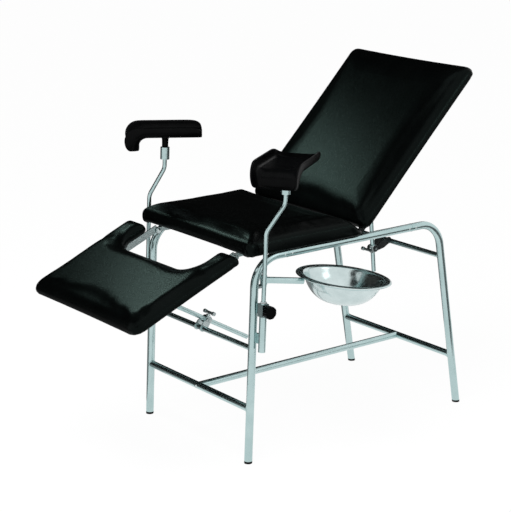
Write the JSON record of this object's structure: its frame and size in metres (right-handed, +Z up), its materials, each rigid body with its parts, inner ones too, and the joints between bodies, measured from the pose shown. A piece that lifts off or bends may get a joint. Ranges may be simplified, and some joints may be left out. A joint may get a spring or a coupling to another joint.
{
  "type": "gynecological examination table",
  "caption": "Padded examination table on a chromed tube frame: reclining backrest, tilting leg section with a cut-out, sliding leg holders with knee crutches, and a swing-out steel bowl.",
  "frame": {"origin": "on the floor, midway between the four feet", "axes": "+X towards the head end, +Y to the right of a person lying on the table, +Z up"},
  "size_m": [1.4788, 1.0515, 1.272],
  "materials": {
    "bright_tube": "polished",
    "hardware_steel": "satin",
    "bowl_steel": "polished",
    "black_paint": "satin stove enamel",
    "upholstery": "fine-grained artificial leather",
    "board": "dark stained plywood",
    "black_plastic": "fine-grained moulded",
    "liner_plastic": "smooth"
  },
  "bodies": {
    "frame": {"back_clamp_bracket": "black_paint", "back_hinge_brackets": "black_paint", "back_hinge_pins": "black_paint", "bowl_pivot_lug": "hardware_steel", "bowl_pivot_pin": "hardware_steel", "centre_stretcher": "bright_tube", "foot_caps": "black_plastic", "front_leg_left": "bright_tube", "front_leg_right": "bright_tube", "holder_socket_left": "bright_tube", "holder_socket_right": "bright_tube", "leg_clamp_bracket": "hardware_steel", "leg_hinge_brackets": "hardware_steel", "leg_hinge_pins": "hardware_steel", "lower_front_crossbar": "bright_tube", "lower_rear_crossbar": "bright_tube", "rail_joints": "bright_tube", "rail_rivets": "hardware_steel", "rear_leg_left": "bright_tube", "rear_leg_right": "bright_tube", "seat_bearers": "black_paint", "seat_board": "board", "seat_cushion": "upholstery", "seat_screws": "hardware_steel", "side_rail_left": "bright_tube", "side_rail_right": "bright_tube", "stretcher_bolts": "hardware_steel", "stretcher_inserts": "hardware_steel", "upper_front_crossbar": "bright_tube", "upper_rear_crossbar": "bright_tube"},
    "backrest": {"back_cushion": "upholstery", "back_board": "board", "back_bars": "black_paint", "back_strut_bracket": "hardware_steel", "back_strut_pin": "hardware_steel", "back_screws": "hardware_steel"},
    "back_strut": {"back_strut_rod": "bright_tube"},
    "back_clamp": {"back_clamp_collar": "hardware_steel"},
    "back_lever": {"back_clamp_lever": "hardware_steel"},
    "leg_section": {"leg_cushion": "upholstery", "leg_board": "board", "leg_bars": "hardware_steel", "leg_strut_bracket": "hardware_steel", "leg_strut_pin": "hardware_steel", "leg_screws": "hardware_steel"},
    "leg_strut": {"leg_strut_rod": "bright_tube"},
    "leg_clamp": {"leg_clamp_collar": "hardware_steel"},
    "leg_lever": {"leg_clamp_lever": "hardware_steel"},
    "bowl_swing_arm": {"bowl_arm": "bright_tube", "bowl_hoop": "bright_tube"},
    "bowl": {"bowl": "bowl_steel"},
    "liner_left": {"socket_liner_left": "liner_plastic"},
    "holder_left": {"holder_rod_left": "bright_tube"},
    "crutch_left": {"knee_crutch_left": "black_plastic"},
    "knob_left": {"clamp_knob_left": "black_plastic"},
    "liner_right": {"socket_liner_right": "liner_plastic"},
    "holder_right": {"holder_rod_right": "bright_tube"},
    "crutch_right": {"knee_crutch_right": "black_plastic"},
    "knob_right": {"clamp_knob_right": "black_plastic"}
  },
  "joints": [
    {"name": "backrest_tilt", "type": "hinge", "parent": "frame", "child": "backrest", "pos_m": [0.0175, 0, 0.7242], "axis": [0, -1, 0], "range_deg": [-45.3, 4]},
    {"name": "back_strut_pivot", "type": "hinge", "parent": "backrest", "child": "back_strut", "pos_m": [0.29162, 0, 0.94007], "axis": [0, -1, 0], "range_deg": [-2.5, 23]},
    {"name": "back_clamp_swivel", "type": "hinge", "parent": "frame", "child": "back_clamp", "pos_m": [0.3261, 0, 0.5614], "axis": [0, -1, 0], "range_deg": [-23, 2.5]},
    {"name": "back_lever_turn", "type": "hinge", "parent": "back_clamp", "child": "back_lever", "pos_m": [0.3261, 0, 0.5614], "axis": [-0.9959, 0, -0.0907], "range_deg": [0, 60]},
    {"name": "leg_tilt", "type": "hinge", "parent": "frame", "child": "leg_section", "pos_m": [-0.4915, 0, 0.713], "axis": [0, 1, 0], "range_deg": [-50, 22.6]},
    {"name": "leg_strut_pivot", "type": "hinge", "parent": "leg_section", "child": "leg_strut", "pos_m": [-0.75719, 0, 0.60565], "axis": [0, 1, 0], "range_deg": [-12, 26]},
    {"name": "leg_clamp_swivel", "type": "hinge", "parent": "frame", "child": "leg_clamp", "pos_m": [-0.4465, 0, 0.43], "axis": [0, 1, 0], "range_deg": [-26, 12]},
    {"name": "leg_lever_turn", "type": "hinge", "parent": "leg_clamp", "child": "leg_lever", "pos_m": [-0.4465, 0, 0.43], "axis": [0.4922, 0, 0.8705], "range_deg": [0, 60]},
    {"name": "liner_swivel_left", "type": "hinge", "parent": "frame", "child": "liner_left", "pos_m": [-0.45977, -0.342, 0.575], "axis": [0.043, 0, 0.9991], "range_deg": [-45, 45]},
    {"name": "holder_slide_left", "type": "slide", "parent": "liner_left", "child": "holder_left", "axis": [0.043, 0, 0.9991], "range_m": [-0.04, 0.08]},
    {"name": "crutch_swivel_left", "type": "hinge", "parent": "holder_left", "child": "crutch_left", "pos_m": [-0.3724, -0.35, 0.979], "axis": [0.043, 0, 0.9991], "range_deg": [-180, 180]},
    {"name": "knob_turn_left", "type": "hinge", "parent": "frame", "child": "knob_left", "pos_m": [-0.46085, -0.342, 0.55], "axis": [0, -1, 0], "range_deg": [-360, 0]},
    {"name": "liner_swivel_right", "type": "hinge", "parent": "frame", "child": "liner_right", "pos_m": [-0.45977, 0.342, 0.575], "axis": [0.043, 0, 0.9991], "range_deg": [-45, 45]},
    {"name": "holder_slide_right", "type": "slide", "parent": "liner_right", "child": "holder_right", "axis": [0.043, 0, 0.9991], "range_m": [-0.04, 0.08]},
    {"name": "crutch_swivel_right", "type": "hinge", "parent": "holder_right", "child": "crutch_right", "pos_m": [-0.3724, 0.35, 0.979], "axis": [0.043, 0, 0.9991], "range_deg": [-180, 180]},
    {"name": "knob_turn_right", "type": "hinge", "parent": "frame", "child": "knob_right", "pos_m": [-0.46085, 0.342, 0.55], "axis": [0, 1, 0], "range_deg": [-360, 0]},
    {"name": "bowl_swing", "type": "hinge", "parent": "frame", "child": "bowl_swing_arm", "pos_m": [-0.4265, -0.3, 0.639], "axis": [0, 0, 1], "range_deg": [-60, 60]},
    {"name": "bowl_lift", "type": "slide", "parent": "bowl_swing_arm", "child": "bowl", "axis": [0.1126, -0.0366, 0.993], "range_m": [0, 0.045]}
  ],
  "couplings": [
    {"joint": "back_strut_pivot", "follows": "backrest_tilt", "ratio": -0.5},
    {"joint": "back_clamp_swivel", "follows": "backrest_tilt", "ratio": 0.5},
    {"joint": "leg_strut_pivot", "follows": "leg_tilt", "ratio": -0.5},
    {"joint": "leg_clamp_swivel", "follows": "leg_tilt", "ratio": 0.5}
  ]
}
